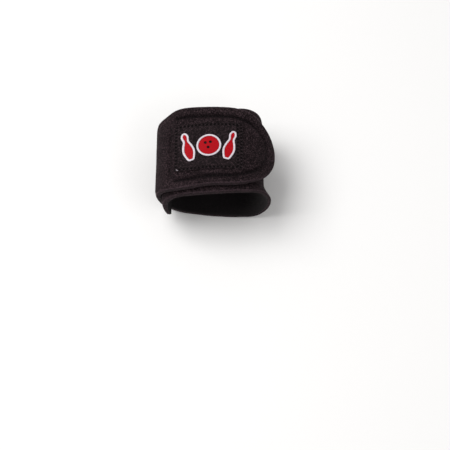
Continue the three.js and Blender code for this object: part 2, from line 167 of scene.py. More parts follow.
def fair(knots, values, place):
    """The value at each place on a smooth curve through the knots."""
    i = np.clip(np.searchsorted(knots, place) - 1, 0, len(knots) - 2)
    slopes = np.diff(values) / np.diff(knots)
    ends = (values[2:] - values[:-2]) / (knots[2:] - knots[:-2])
    slopes_at = np.concatenate([slopes[:1], ends, slopes[-1:]])
    span = knots[i + 1] - knots[i]
    t = np.clip((place - knots[i]) / span, 0, 1)
    rise = (3 - 2 * t) * t * t
    leaving = t * (1 - t) ** 2 * span * slopes_at[i]
    arriving = t * t * (t - 1) * span * slopes_at[i + 1]
    return values[i] + (values[i + 1] - values[i]) * rise + leaving + arriving


def smooth(start, end, place):
    """A rise from 0 to 1 between start and end, level at both."""
    t = np.clip((place - start) / (end - start), 0, 1)
    return t * t * (3 - 2 * t)


def make_spine():
    """The strip's middle line, as arrays along it.

    s is the distance run, turn the turns made, x and z the place, nx and nz the outward normal,
    shift the strip's drift towards the forearm, and half its half width.
    """
    laps = np.arange(-1, 3)[:, None]
    turn_marks = (laps + np.arange(4) / 4).ravel()
    lap_marks = np.array([0, back_half, 2 * back_half, 2 * back_half + palm_half])
    distance_marks = (laps * perimeter + lap_marks).ravel()
    flat_end = perimeter - corner[0] - side_arc[0]
    start = flat_end + RISE_LENGTH - perimeter
    end = np.interp(TIP_TURN, turn_marks, distance_marks)
    distance = np.linspace(start, end, SPINE_SAMPLES + 1)
    turn = np.interp(distance, distance_marks, turn_marks)
    panel_gap = PANEL_THICKNESS + 2 * SEAT_GAP - LAYER_GAP
    level = BAND_THICKNESS / 2
    level = level + smooth(flat_end, flat_end + RISE_LENGTH, distance) * (BAND_THICKNESS + LAYER_GAP)
    level = level + smooth(PANEL_TURN - PANEL_GAP_TURN, PANEL_TURN, turn) * panel_gap
    level = level + TIP_LIFT * np.clip((turn - LIFT_TURN) / (TIP_TURN - LIFT_TURN), 0, 1) ** 2
    lap = distance % perimeter
    heading = np.interp(lap, walked, walked_heading)
    x = np.interp(lap, walked, walked_x) - np.sin(heading) * level
    z = np.interp(lap, walked, walked_z) + np.cos(heading) * level
    run_x, run_z = np.gradient(x), np.gradient(z)
    run = np.hypot(run_x, run_z)
    s = np.concatenate([[0], np.cumsum(np.hypot(np.diff(x), np.diff(z)))])
    shift = BAND_WIDTH * fair(WINDING[:, 0], WINDING[:, 1], turn)
    half = BAND_WIDTH / 2 * fair(WINDING[:, 0], WINDING[:, 2], turn)
    names = ("s", "turn", "x", "z", "nx", "nz", "shift", "half")
    return dict(zip(names, (s, turn, x, z, -run_z / run, run_x / run, shift, half)))


spine = make_spine()
strip_length = spine["s"][-1]
panel_start = np.interp(PANEL_TURN, spine["turn"], spine["s"])
print("strip:", round(strip_length, 1), "mm long; hook panel from", round(panel_start, 1), "mm")

# %% [markdown]
# Winding takes a flat point, s along the strip, w across it and h out from its middle, and gives its
# place on the wrist. The wrist isn't the same all along its length: the thumb's root flares one hem
# out, and the forearm is rounder than the wrist. Moving each point along the section's normal does
# that. The last step moves the wrap from the hollow's own origin to the CAD model's.

# %% Wind flat cloth round the wrist
FACE = BAND_THICKNESS / 2
TIP_LENGTH = 38.0  # the half ellipse that ends the flap
HEM_FLARE = 6.0  # the thumb's root pushes the hand side's hem out
HEM_FLARE_REACH = 12.0  # from that hem
THUMB_SIDE = 0.25  # where the section leans this much to the thumb, the flare starts
SHOULDER_INSET = 1.8  # the forearm's little-finger shoulder draws in
SIDE_INSET = 0.8  # and the forearm is narrower on each side
BOX_ROWS = 600  # points along and across the strip that find the band's own box
BOX_COLUMNS = 9


def push(y, hem, nx, nz):
    """How far the wrist's shape moves the cloth out, hem being the distance to the hand side's hem."""
    up = np.clip(y / BAND_WIDTH + 0.5, 0, 1)
    shoulder_lean = (2 * np.maximum(-nx, 0) * np.maximum(nz, 0)) ** 2
    flare = smooth(THUMB_SIDE, 1, nx) * np.maximum(0, 1 - hem / HEM_FLARE_REACH) ** 2
    return HEM_FLARE * flare - SHOULDER_INSET * shoulder_lean * up**2 - SIDE_INSET * up * nx**2


def wind(s, w, h):
    """Flat points wound on, in millimetres from the hollow's own origin."""
    x, z, nx, nz, shift, half = (
        np.interp(s, spine["s"], spine[key]) for key in ("x", "z", "nx", "nz", "shift", "half")
    )
    y = w + shift
    out = h + push(y, w + half, nx, nz)
    return np.stack([x + nx * out, y, z + nz * out], axis=-1)


def half_width(s):
    """Half the strip's width there, before its end is rounded."""
    return np.interp(s, spine["s"], spine["half"])


def find_origin():
    """The CAD model's place of the hollow's origin, in millimetres, from the band's two boxes.

    Across the wrist the little-finger sides are matched, because the other side's flared hem is
    drawn finer here than in the CAD model, and so reaches a little further.
    """
    s = np.linspace(0, strip_length, BOX_ROWS)
    across = np.linspace(-1, 1, BOX_COLUMNS)[:, None]
    left = np.clip((strip_length - s) / TIP_LENGTH, 0, 1)
    w = half_width(s) * np.sqrt(left * (2 - left)) * across
    s = np.broadcast_to(s, w.shape)
    faces = np.concatenate([wind(s, w, h).reshape(-1, 3) for h in (-FACE, FACE)])
    low, high = (np.array(corner_point) / MM for corner_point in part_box("wrap_band"))
    low, high = low - faces.min(axis=0), high - faces.max(axis=0)
    return np.array([low[0], (low[1] + high[1]) / 2, low[2]])


origin = find_origin()
print("hollow's origin in the CAD frame, mm:", np.round(origin, 2))

# %% [markdown]
# Soft foam never lies quite flat, and a hand-held knife wavers. Smooth random heights give both. They
# come from a lattice of random numbers with a seed, so that they are the same in each run.

# %% Uneven cloth
LATTICE = 64  # random heights along each side, before they repeat


def ripple(s, w, height, size, seed):
    """Smooth random heights over the flat cloth, up to height, with waves of about size."""
    lattice = np.random.default_rng(seed).uniform(-1, 1, (LATTICE, LATTICE))
    a, b = s / size, w / size
    i, j = np.floor(a).astype(int), np.floor(b).astype(int)
    ta, tb = smooth(0, 1, a - i), smooth(0, 1, b - j)

    def at(di, dj):
        return lattice[(i + di) % LATTICE, (j + dj) % LATTICE]

    one_side = at(0, 0) * (1 - ta) + at(1, 0) * ta
    other_side = at(0, 1) * (1 - ta) + at(1, 1) * ta
    return height * (one_side * (1 - tb) + other_side * tb)


along_strip = np.arange(strip_length)
tried = ripple(along_strip, 0 * along_strip, height=1, size=8, seed=0)
print("a ripple 1 mm high goes from", round(tried.min(), 2), "to", round(tried.max(), 2), "mm")

# %% [markdown]
# Every piece is made flat and wound on at the end, so one function makes all the meshes. It also keeps
# each point's flat place in the mesh, so that a weave can follow the cloth round the wrist.

# %% Meshes from flat points
def round_the_edge(grid):
    """The border of a rows by columns array, as one loop."""
    return np.concatenate([grid[0], grid[1:, -1], grid[-1, -2::-1], grid[-2:0:-1, 0]])


def quads(grid):
    """The four corner numbers of each cell of a rows by columns array of point numbers."""
    corners = (grid[:-1, :-1], grid[1:, :-1], grid[1:, 1:], grid[:-1, 1:])
    return np.stack(corners, axis=-1).reshape(-1, 4)


def make_object(name, flat, faces, finishes, finish_of_face=None, pressed=None):
    """A smooth mesh object of wound flat points, riding on the frame's one body.

    The last argument says, from 0 to 1, how far a seam presses each point and paints it in shade.
    """
    places = (wind(*flat.T) + origin) * MM
    places[:, 2] = np.maximum(places[:, 2], 0)  # soft cloth flattens on the floor
    mesh = bpy.data.meshes.new(name)
    mesh.from_pydata(places.tolist(), [], faces.tolist())
    for finish in finishes:
        mesh.materials.append(finish)
    if finish_of_face is not None:
        mesh.polygons.foreach_set("material_index", finish_of_face.astype(np.int32))
    mesh.polygons.foreach_set("use_smooth", np.ones(len(faces), bool))
    mesh.attributes.new("flat", "FLOAT_VECTOR", "POINT").data.foreach_set(
        "vector", flat.astype(np.float32).ravel()
    )
    # painted shade along seams, kept per point so that the materials darken the cloth there
    if pressed is not None:
        mesh.attributes.new("pressed", "FLOAT", "POINT").data.foreach_set(
            "value", pressed.astype(np.float32)
        )
    mesh.update()
    piece = bpy.data.objects.new(name, mesh)
    bpy.context.scene.collection.objects.link(piece)
    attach(piece, "root")
    print(name, "has", len(mesh.vertices), "points and", len(faces), "faces")
    return piece


# %% [markdown]
# The flat pieces are sheets: a net of points on top, another underneath, and a cut or folded edge
# between them. The edge is a short list of steps, so that a raw cut through foam, a moulded rim and a
# folded hem can each have their own section.

# %% Make a sheet from a flat net
RING_SHIFT = 50.0  # each ring of a cut takes its wavering from further along, to have its own


def make_sheet(name, net, top, bottom, edge, finishes, wavering=None, pressed=None):
    """A sheet over a flat net.

    net(inset) gives rows by columns of flat points, top(s, w) and bottom(s, w) the heights of its
    faces, and edge its sides' steps down from the top: inset, share of the thickness, and the
    number of the finish below that step. wavering is the ripple of a raw cut. The last argument,
    a function of s and w, says how far a seam flattens the top and darkens it with painted shade.
    """
    top_net, bottom_net = net(edge[0][0]), net(edge[-1][0])
    upper, lower = (
        np.dstack([places, height(places[..., 0], places[..., 1])]).reshape(-1, 3)
        for places, height in ((top_net, top), (bottom_net, bottom))
    )
    numbers = np.arange(len(upper)).reshape(top_net.shape[:2])
    loops = [round_the_edge(numbers)]
    points = [upper, lower]
    count = 2 * len(upper)
    for inset, share, _ in edge[1:-1]:
        ring = round_the_edge(net(inset))
        if wavering:
            waver = ripple(ring[:, 0] + RING_SHIFT * share, ring[:, 1], *wavering)
            ring = ring + (ring - round_the_edge(net(inset + 1))) * waver[:, None]
        high, low = top(*ring.T), bottom(*ring.T)
        points.append(np.column_stack([ring, low + (high - low) * share]))
        loops.append(count + np.arange(len(ring)))
        count += len(ring)
    loops.append(round_the_edge(numbers) + len(upper))
    faces = [quads(numbers), quads(numbers + len(upper))[:, ::-1]]
    finish_of = [np.zeros(len(faces[0])), np.full(len(faces[1]), len(finishes) - 1)]
    for above, below, (_, _, finish) in zip(loops, loops[1:], edge):
        faces.append(np.column_stack([above, np.roll(above, -1), np.roll(below, -1), below]))
        finish_of.append(np.full(len(above), finish))
    flat = np.concatenate(points)
    seam_shaded = None
    # the seams' painted shade on the top face
    if pressed:
        seam_shaded = np.zeros(len(flat))
        seam_shaded[: len(upper)] = pressed(upper[:, 0], upper[:, 1])
    return make_object(
        name, flat, np.concatenate(faces), finishes, np.concatenate(finish_of), seam_shaded
    )


# %% [markdown]
# Materials are node trees. One helper adds a node with its settings and its links, and another turns a
# colour picked as sRGB hex into the linear values that the shader works in. As on real cloth, each
# pattern here does two things: it tints the surface, and it stands up in it. One function lets it do
# both. Along a seam it also paints the cloth darker: painted shade of the seam's channel and needle
# holes, partly the darker look of cloth that a seam presses flat.

# %% Helpers for materials
def colour(hex_code):
    """An sRGB hex colour as linear red, green, blue and alpha."""
    parts = [int(hex_code[i : i + 2], 16) / 255 for i in (1, 3, 5)]
    linear = [p / 12.92 if p <= 0.04045 else ((p + 0.055) / 1.055) ** 2.4 for p in parts]
    return (*linear, 1.0)


def per_metre(millimetres):
    """The scale of a pattern that is spaced so in the object's own metres."""
    return 1 / (millimetres * MM)


def new_material(name, **sockets):
    """A material and its shader, with the shader's uniform sockets set."""
    material = bpy.data.materials.new(name)
    material.use_nodes = True
    shader = material.node_tree.nodes["Principled BSDF"]
    for socket, value in sockets.items():
        shader.inputs[socket.replace("_", " ")].default_value = value
    print("material", name)
    return material, shader


def add(material, kind, inputs=None, feeds=None, **settings):
    """Adds a node. inputs are values or (node, output) links, feeds the (node, input) it drives."""
    tree = material.node_tree
    node = tree.nodes.new(kind)
    for key, value in settings.items():
        setattr(node, key, value)
    for key, value in (inputs or {}).items():
        if isinstance(value, tuple) and isinstance(value[0], bpy.types.Node):
            tree.links.new(value[0].outputs[value[1]], node.inputs[key])
        else:
            node.inputs[key].default_value = value
    if feeds:
        shown = [output for output in node.outputs if output.enabled]
        tree.links.new(shown[0], feeds[0].inputs[feeds[1]])
    return node


def show(material, shader, pattern, stops, strength, depth, raised=None, pressed=None):
    """Lets a pattern, which is a (node, output) link, tint a finish and stand up in it.

    stops are the tint's (place, hex) steps, strength how far the relief counts, and depth its
    height in millimetres. raised is the relief's pattern where it is another one. The last
    argument is the colour of the painted shade in a seam's channel or needle holes, partly also
    the darker look of cloth that a seam presses flat.
    """
    ramp = add(material, "ShaderNodeValToRGB", {"Fac": pattern}, (shader, "Base Color"))
    elements = ramp.color_ramp.elements
    for element, (place, hex_code) in zip(elements, stops):
        element.position, element.color = place, colour(hex_code)
    for place, hex_code in stops[2:]:
        elements.new(place).color = colour(hex_code)
    if pressed:
        # painted shade: the seam attribute mixes the tint towards the seam's dark colour
        seam_shade = add(material, "ShaderNodeAttribute", attribute_name="pressed")
        add(material, "ShaderNodeMix", {
            0: (seam_shade, "Fac"), 6: (ramp, "Color"), 7: colour(pressed),
        }, (shader, "Base Color"), data_type="RGBA")
    add(material, "ShaderNodeBump", {
        "Height": raised or pattern, "Strength": strength, "Distance": depth * MM,
    }, (shader, "Normal"))


print("black cloth in linear colour:", [round(c, 4) for c in colour("#2a2226")])

# %% [markdown]
# The outside of the wrap is nylon cloth laminated to the foam and brushed, so that hooks hold in it.
# Brushing breaks the loops into a soft felt: no shine, a paler halo where the cloth turns away, and
# a fine uneven colour, warm black with browner tips. A sheen layer gives the halo. The real fibres
# are 0.02 mm thick, far too fine for a render of the whole wrap, so the felt's tufts are drawn about
# 1 mm wide, as wide as they need to be to show. Broader cloudy patches lie faintly over them.

# %% Brushed nylon
def brushed_nylon():
    material, shader = new_material(
        "brushed_nylon", Roughness=0.95, IOR=1.53, Specular_IOR_Level=0.06,
        Sheen_Weight=0.035, Sheen_Roughness=0.5, Sheen_Tint=colour("#b08f98"),
    )
    place = add(material, "ShaderNodeTexCoord")
    tufts = add(material, "ShaderNodeTexNoise", {
        "Vector": (place, "Object"), "Scale": per_metre(0.8), "Detail": 5, "Roughness": 0.85,
    })
    patches = add(material, "ShaderNodeTexNoise", {
        "Vector": (place, "Object"), "Scale": per_metre(14), "Detail": 2, "Roughness": 0.5,
    })
    most = add(material, "ShaderNodeMath", {0: (tufts, "Fac"), 1: 0.93}, operation="MULTIPLY")
    both = add(material, "ShaderNodeMath", {
        0: (patches, "Fac"), 1: 0.07, 2: (most, 0),
    }, operation="MULTIPLY_ADD")
    stops = ((0.44, "#070405"), (0.51, "#191315"), (0.58, "#433539"))
    # 050304 is the painted shade in the seam's channel, partly the darker look of pressed felt
    show(material, shader, (both, 0), stops, 0.55, 0.35, raised=(tufts, "Fac"), pressed="#050304")
    return material


NYLON = brushed_nylon()

# %% [markdown]
# Where the sheet was cut, its core shows: closed-cell neoprene foam, a dull brown-black rubber with
# pinholes about 0.3 mm wide. It reads a little paler than the cloth, because its cut cells catch light.
# A cell pattern gives the pinholes, drawn twice as coarse as real, to show.

# %% Neoprene foam
def neoprene_foam():
    material, shader = new_material(
        "neoprene_foam", Roughness=0.9, IOR=1.56, Specular_IOR_Level=0.1,
        Sheen_Weight=0.04, Sheen_Roughness=0.5, Sheen_Tint=colour("#b08f98"),
    )
    place = add(material, "ShaderNodeTexCoord")
    cells = add(material, "ShaderNodeTexVoronoi", {
        "Vector": (place, "Object"), "Scale": per_metre(0.6),
    })
    uneven = add(material, "ShaderNodeTexNoise", {
        "Vector": (place, "Object"), "Scale": per_metre(1.2), "Detail": 4, "Roughness": 0.7,
    })
    cut = add(material, "ShaderNodeMath", {
        0: (cells, "Distance"), 1: 0.5, 2: (uneven, "Fac"),
    }, operation="MULTIPLY_ADD")
    stops = ((0.5, "#0b0708"), (0.68, "#1b1517"), (0.9, "#35292d"))
    show(material, shader, (cut, 0), stops, 0.5, 0.2, raised=(cells, "Distance"))
    return material


FOAM = neoprene_foam()

# %% [markdown]
# Along the cut the brushed skin frays, and its rounded rim catches the light. A strip of its own
# finish, less than 1 mm wide, draws both as a pale hairline, which outlines the flap against the cloth
# below: its paler colour is partly the loose fibre ends and partly painted highlight on the rim.
# Fibres that stand up shine at a glancing angle, so its sheen is far stronger than the felt's.

# %% Frayed nylon, with painted rim highlight
def frayed_and_rim_lit_nylon():
    material, shader = new_material(
        "frayed_and_rim_lit_nylon", Roughness=0.95, IOR=1.53, Specular_IOR_Level=0.06,
        Sheen_Weight=0.5, Sheen_Roughness=0.25, Sheen_Tint=colour("#c4a9b0"),
    )
    place = add(material, "ShaderNodeTexCoord")
    fibres = add(material, "ShaderNodeTexNoise", {
        "Vector": (place, "Object"), "Scale": per_metre(0.5), "Detail": 3, "Roughness": 0.7,
    })
    # the pale stops draw the hairline: partly frayed fibre, partly painted highlight on the rim
    show(material, shader, (fibres, "Fac"), ((0.4, "#141012"), (0.62, "#47393e")), 0.6, 0.2)
    return material


FRAYED_AND_RIM_LIT = frayed_and_rim_lit_nylon()

# %% [markdown]
# The inside is the same nylon left unbrushed: a smooth knitted jersey, with upright ribs, the wales,
# about 0.6 mm apart in such cloth. A straight wave gives the ribs, and a slanting one across it gives
# each rib its row of small loops. The pattern follows the flat place of each point, so the ribs run
# straight across the strip.

# %% Nylon jersey
WALE = 0.9  # drawn half as wide again as real, to show
# Blender's wave texture has 20 radians to a unit, and half as many along each axis when diagonal
STRAIGHT_WAVE = 2 * math.pi / 20
DIAGONAL_WAVE = 2 * math.pi / (10 * math.sqrt(2))


def nylon_jersey():
    material, shader = new_material(
        "nylon_jersey", Roughness=0.75, IOR=1.53, Specular_IOR_Level=0.15,
        Sheen_Weight=0.04, Sheen_Roughness=0.4, Sheen_Tint=colour("#8d8085"),
    )
    place = add(material, "ShaderNodeAttribute", attribute_name="flat")
    ribs, loops = (
        add(material, "ShaderNodeTexWave", {
            "Vector": (place, "Vector"), "Scale": wave / WALE, "Distortion": 0.6, "Detail": 1,
        }, bands_direction=direction)
        for wave, direction in ((STRAIGHT_WAVE, "X"), (DIAGONAL_WAVE, "DIAGONAL"))
    )
    knit = add(material, "ShaderNodeMath", {
        0: (ribs, "Fac"), 1: (loops, "Fac"),
    }, operation="MULTIPLY")
    show(material, shader, (knit, 0), ((0.1, "#0f0c0d"), (0.8, "#1f191b")), 0.6, 0.2)
    return material


JERSEY = nylon_jersey()

# %% [markdown]
# The hook panel, the badge's patch and the wrap itself are all cut with a rounded end or corners. A
# plain grid would crowd together at the flap's tip. So its last rows are eased from a square into a
# half disc, which keeps every cell open. The same net serves the wrap and the hook panel.

# %% Nets for the flap and the hook panel
PITCH = 0.62  # of the rows on the flap
HIDDEN_PITCH = 1.4  # and of those that the other turn hides
FLAP_MARGIN = 12.0  # how far before the hook panel the flap's rows start
BAND_COLUMNS = 93
CORNER_STEPS = 5
tip_start = strip_length - TIP_LENGTH


def row_places(start, end, pitch):
    """Places of rows: pitch apart on the flap, and coarser where the other turn hides the cloth."""
    flap_start = max(start, panel_start - FLAP_MARGIN)
    steps = max(1, math.ceil((flap_start - start) / HIDDEN_PITCH))
    hidden = np.linspace(start, flap_start, steps + 1)
    shown = np.linspace(flap_start, end, math.ceil((end - flap_start) / pitch) + 1)
    return np.concatenate([hidden[:-1], shown])


def tongue_net(start, end, half, corner_radius, pitch, columns, inset):
    """Rows of flat points of a strip that ends in a half ellipse, its start's corners rounded."""
    across = np.linspace(-1, 1, columns)
    rows = []
    corner_steps = CORNER_STEPS if corner_radius else 0
    for angle in np.linspace(0, math.pi / 2, corner_steps, endpoint=False):
        s = start + inset + corner_radius * (1 - math.cos(angle))
        narrower = corner_radius * (1 - math.sin(angle))
        rows.append((np.full(columns, s), across * (half(s) - inset - narrower)))
    for s in row_places(start + corner_radius, tip_start, pitch):
        s = max(s, start + inset)
        rows.append((np.full(columns, s), across * (half(s) - inset)))
    steps = math.ceil((end - tip_start) / pitch)
    for share in np.arange(1, steps + 1) / steps:
        s = tip_start + (end - tip_start - inset) * share * np.sqrt(1 - across**2 / 2)
        rows.append((s, across * math.sqrt(1 - share**2 / 2) * (half(s) - inset)))
    return np.array(rows).transpose(0, 2, 1)


def band_net(inset):
    return tongue_net(0, strip_length, half_width, 0, PITCH, BAND_COLUMNS, inset)


outline = round_the_edge(band_net(0))
print("the wrap's net:", band_net(0).shape[:2], "rows and columns,", len(outline), "points round it")

# %% [markdown]
# The hook panel is sewn on from behind with one row of stitches round it. Seen from the front, that
# row pulls the soft foam in, and leaves a channel: the oval line that runs round the flap. It is a
# form that catches light, so it is in the mesh, and its felt is also painted darker, as the shade that
# falls in it. Each point's distance to the seam, found with a KD tree, sets how deep it is pulled in.

# %% The seam that holds the hook panel
PANEL_INSET = 5.2  # from the flap's sides, on average
PANEL_DROP = 0.8  # panel's middle below the strip's, towards the hand
PANEL_TIP_INSET = 7.6  # from the flap's tip
PANEL_CORNER = 4.0
PANEL_PITCH = 1.5
PANEL_COLUMNS = 31
SEAM_INSET = 1.5  # from the panel's edge to the stitches
SEAM_STEP = 0.3  # between the points of a seam's path
panel_end = strip_length - PANEL_TIP_INSET


def panel_half(s):
    return half_width(s) - PANEL_INSET


def panel_net(inset):
    sizes = (panel_start, panel_end, panel_half, PANEL_CORNER, PANEL_PITCH, PANEL_COLUMNS)
    return tongue_net(*sizes, inset) - (0, PANEL_DROP)


def measure(path, closed=True):
    """A flat path's points, the first one again at the end if it is closed, and the run to each."""
    line = np.vstack([path, path[:1]]) if closed else path
    return line, np.concatenate([[0], np.cumsum(np.hypot(*np.diff(line, axis=0).T))])


def points_at(line, run, distance):
    """The flat points at the given distances along a measured path."""
    return np.stack([np.interp(distance, run, line[:, i]) for i in (0, 1)], axis=-1)


def evenly(loop, step):
    """A closed loop of flat points, respaced evenly, without its closing point."""
    line, run = measure(loop)
    return points_at(line, run, np.linspace(0, run[-1], math.ceil(run[-1] / step) + 1)[:-1])


def distance_to(path):
    """A function that gives each flat point's distance to a path."""
    tree = KDTree(len(path))
    for i, (s, w) in enumerate(path):
        tree.insert((s, w, 0), i)
    tree.balance()
    return lambda s, w: np.array(
        [tree.find((a, b, 0))[2] for a, b in zip(s.ravel(), w.ravel())]
    ).reshape(s.shape)


seam = evenly(round_the_edge(panel_net(SEAM_INSET)), SEAM_STEP)
from_seam = distance_to(seam)
print("panel seam:", round(len(seam) * SEAM_STEP), "mm long")

# %% [markdown]
# Now the wrap. Its top is the brushed face, a little uneven as soft foam is, its underside the jersey,
# and its sides the raw cut. The knife crushes the foam as it goes, so the face falls away towards the
# edge, and the cut slopes out a little to the inner skin. Both skins stand just proud of the foam. The
# seam's channel is slack at the panel's two ends, where the flap isn't stretched.

# %% The wrap
SEAM_DEPTH = 1.35
SEAM_SPREAD = 1.4  # how far to each side the foam is pulled in
START_SLACK = 0.4  # share of that depth where the row crosses the strip, at the panel's start
TIP_SLACK = 0.5  # and round the panel's tip
TIP_SLACK_LENGTH = 12.0  # the channel gets slack over this length
SEAM_PRESS_AND_SHADE = 0.85  # how much the seam darkens the felt: painted shade in its channel, partly pressed felt
EDGE_FALL = 0.6  # how far the face falls at the cut
EDGE_REACH = 2.6  # and how far in from it
CUT_STEP = 0.5  # between the points of the cut that distances are measured to
# ripples: height, spacing, seed
UNEVEN = (0.1, 8.0, 1)  # soft foam never lies quite flat
NAP = (0.035, 0.8, 2)  # the felt's tufts
UNEVEN_INSIDE = (0.03, 9.0, 3)
RAW_CUT = (0.07, 0.9, 5)
# inset, share of the thickness, finish below: brushed skin, its frayed end (partly painted rim
# highlight), foam, jersey skin
CUT_EDGE = [
    (1.9, 1.0, 0),
    (1.2, 0.99, 1),
    (0.75, 0.96, 1),
    (0.45, 0.9, 2),
    (0.32, 0.83, 2),
    (0.4, 0.78, 2),
    (0.22, 0.66, 2),
    (0.12, 0.52, 2),
    (0.1, 0.38, 2),
    (0.18, 0.22, 2),
    (0.08, 0.16, 3),
    (0.16, 0.09, 3),
    (0.5, 0.02, 3),
    (1.6, 0.0, 3),
]
from_cut = distance_to(evenly(outline, CUT_STEP))


def near(distance, spread, power=2):
    """1 on a line, falling softly to 0 beyond spread to either side of it."""
    return np.exp(-(np.abs(distance / spread) ** power))


def seam_pull(s, w):
    """How strongly the seam draws the face in, from 0 to 1."""
    row = panel_start + SEAM_INSET
    taut = START_SLACK + (1 - START_SLACK) * smooth(row + SEAM_SPREAD, row + 3 * SEAM_SPREAD, s)
    tip = panel_end - SEAM_INSET
    taut = taut - (1 - TIP_SLACK) * smooth(tip - TIP_SLACK_LENGTH, tip, s)
    return taut * near(from_seam(s, w), SEAM_SPREAD)


def band_top(s, w):
    soft = ripple(s, w, *UNEVEN) + ripple(s, w, *NAP)
    return FACE + soft - SEAM_DEPTH * seam_pull(s, w) - EDGE_FALL * near(from_cut(s, w), EDGE_REACH)


# Painted shade along the seam's channel, partly the darker look of felt that the seam presses flat.
def band_pressed_and_shaded(s, w):
    return SEAM_PRESS_AND_SHADE * seam_pull(s, w)


def band_bottom(s, w):
    return ripple(s, w, *UNEVEN_INSIDE) - FACE


wrap = make_sheet(
    "wrap", band_net, band_top, band_bottom, CUT_EDGE, [NYLON, FRAYED_AND_RIM_LIT, FOAM, JERSEY],
    RAW_CUT, band_pressed_and_shaded,
)
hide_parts("wrap_band")
widest = 2 * half_width(spine["s"]).max()
print("cut size, mm:", round(widest, 1), "by", round(strip_length, 1))

# %% [markdown]
# Thread next. The hook panel is sewn on with bonded polyester thread, black and slightly glossy, and
# the patch with spun thread, which is hairy and matt. The panel's thread is drawn near black: its own
# black, darkened further as painted shade where it sinks into the channel. The patch's thread is
# drawn no darker than the cloth, partly its own hairy tone and partly painted highlight where its
# stitches arch up into the light. Both are plies twisted together, and the twist breaks their shade
# up along the thread. A small noise does that, since single plies are too fine to show.

# %% Polyester thread
def polyester_thread(name, roughness, dark, light):
    material, shader = new_material(name, Roughness=roughness, IOR=1.57, Specular_IOR_Level=0.15)
    place = add(material, "ShaderNodeTexCoord")
    twist = add(material, "ShaderNodeTexNoise", {
        "Vector": (place, "Object"), "Scale": per_metre(0.5), "Detail": 2,
    })
    show(material, shader, (twist, "Fac"), ((0.3, dark), (0.7, light)), 0.4, 0.08)
    return material


# near black: the thread's own black plus painted shade where the stitches sink into the channel
BONDED_THREAD_AND_SHADE = polyester_thread("black_bonded_thread_and_shade", 0.5, "#050304", "#0f0b0c")
# paler than the cloth: partly the hairy thread's tone, partly painted highlight on the stitches' arches
SPUN_THREAD_AND_HIGHLIGHT = polyester_thread("black_spun_thread_and_highlight", 0.85, "#181114", "#3b2e32")

# %% [markdown]
# Thread that lies on cloth is a thin rod that follows it. It could be a curve with a round bevel, but
# then it wouldn't be wound on with the cloth. So it is a mesh of rings round a flat line. The rods are
# left open at first, and one pass closes all their ends.

# %% Rods that lie on the cloth
ROD_SIDES = 8


def circle(sides):
    """The cosines and sines of points round a circle."""
    turn = np.linspace(0, 2 * math.pi, sides, endpoint=False)
    return np.cos(turn), np.sin(turn)


def close_ends(piece):
    """Closes a mesh's open ends, and turns its faces outwards."""
    mesh = bmesh.new()
    mesh.from_mesh(piece.data)
    open_edges = [edge for edge in mesh.edges if edge.is_boundary]
    bmesh.ops.holes_fill(mesh, edges=open_edges)
    bmesh.ops.recalc_face_normals(mesh, faces=mesh.faces)
    mesh.to_mesh(piece.data)
    mesh.free()


def make_tubes(name, flat, finish):
    """Closed tubes as one mesh, from an array of tubes by rings by flat points."""
    count, rings, sides, _ = flat.shape
    tube = np.arange(rings * sides).reshape(rings, sides)
    faces = quads(np.pad(tube, ((0, 0), (0, 1)), mode="wrap"))
    starts = np.arange(count)[:, None, None] * tube.size
    piece = make_object(name, flat.reshape(-1, 3), (starts + faces).reshape(-1, 4), [finish])
    close_ends(piece)
    return piece


def crosswise(ahead):
    """Unit vectors square to flat directions."""
    square = np.stack([-ahead[..., 1], ahead[..., 0]], axis=-1)
    return square / np.hypot(ahead[..., 0], ahead[..., 1])[..., None]


def lay_thread(name, middle, ahead, level, radius, finish):
    """Rods that lie along the cloth, from rods by points of places, directions and heights."""
    cos, sin = circle(ROD_SIDES)
    sideways = (radius[:, None] * cos)[..., None]
    places = middle[:, :, None] + crosswise(ahead)[:, :, None] * sideways
    heights = level[..., None] + radius[:, None] * sin
    return make_tubes(name, np.concatenate([places, heights[..., None]], axis=-1), finish)


# %% [markdown]
# Each stitch leaves the cloth, arches over it and dives back in. A row of stitches is one mesh: a
# small arched rod, repeated along the row's path. The panel's row shows on both sides of the flap.

# %% Rows of stitches
THREAD_RADIUS = 0.24  # of thread 0.4 mm thick, drawn a little thicker, to show
STITCH = 2.4  # pitch of the stitches
STITCH_SHARE = 0.56  # of the pitch that shows, the rest being in the cloth
STITCH_RINGS = 7
STITCH_RISE = 0.45  # a stitch's middle over the cloth, in thread radii
STITCH_DIVE = 2.2  # and how far below that its ends are
STITCH_END = 0.2  # thickness of its ends, as a share
LOOK_AHEAD = 0.05  # a point this far on shows which way the row runs
SUNK = 0.2  # how far the soft foam swallows the panel's stitches


def stitch_count(run):
    return max(1, round(run[-1] / STITCH))


def needle_holes(path, closed=True):
    """The flat points where a row's stitches go into the cloth."""
    line, run = measure(path, closed)
    return points_at(line, run, np.linspace(0, run[-1], stitch_count(run) + 1))


def sew(name, path, height, side=1, finish=BONDED_THREAD_AND_SHADE, closed=True):
    """A row of stitches along a flat path. height(s, w) is the cloth there, and side 1 above it."""
    line, run = measure(path, closed)
    count = stitch_count(run)
    reach = np.linspace(-1, 1, STITCH_RINGS)
    at = (np.arange(count)[:, None] + 0.5 + reach * STITCH_SHARE / 2) * run[-1] / count
    middle = points_at(line, run, at)
    ahead = points_at(line, run, at + LOOK_AHEAD) - middle
    arch = THREAD_RADIUS * (STITCH_RISE - STITCH_DIVE * reach**4)
    level = height(middle[..., 0], middle[..., 1]) + side * arch
    radius = THREAD_RADIUS * np.sqrt(np.clip(1 - reach**6, STITCH_END**2, 1))
    piece = lay_thread(name, middle, ahead, level, radius, finish)


def level_at(height):
    """A flat face at that height."""
    return lambda s, w: np.full(s.shape, height)


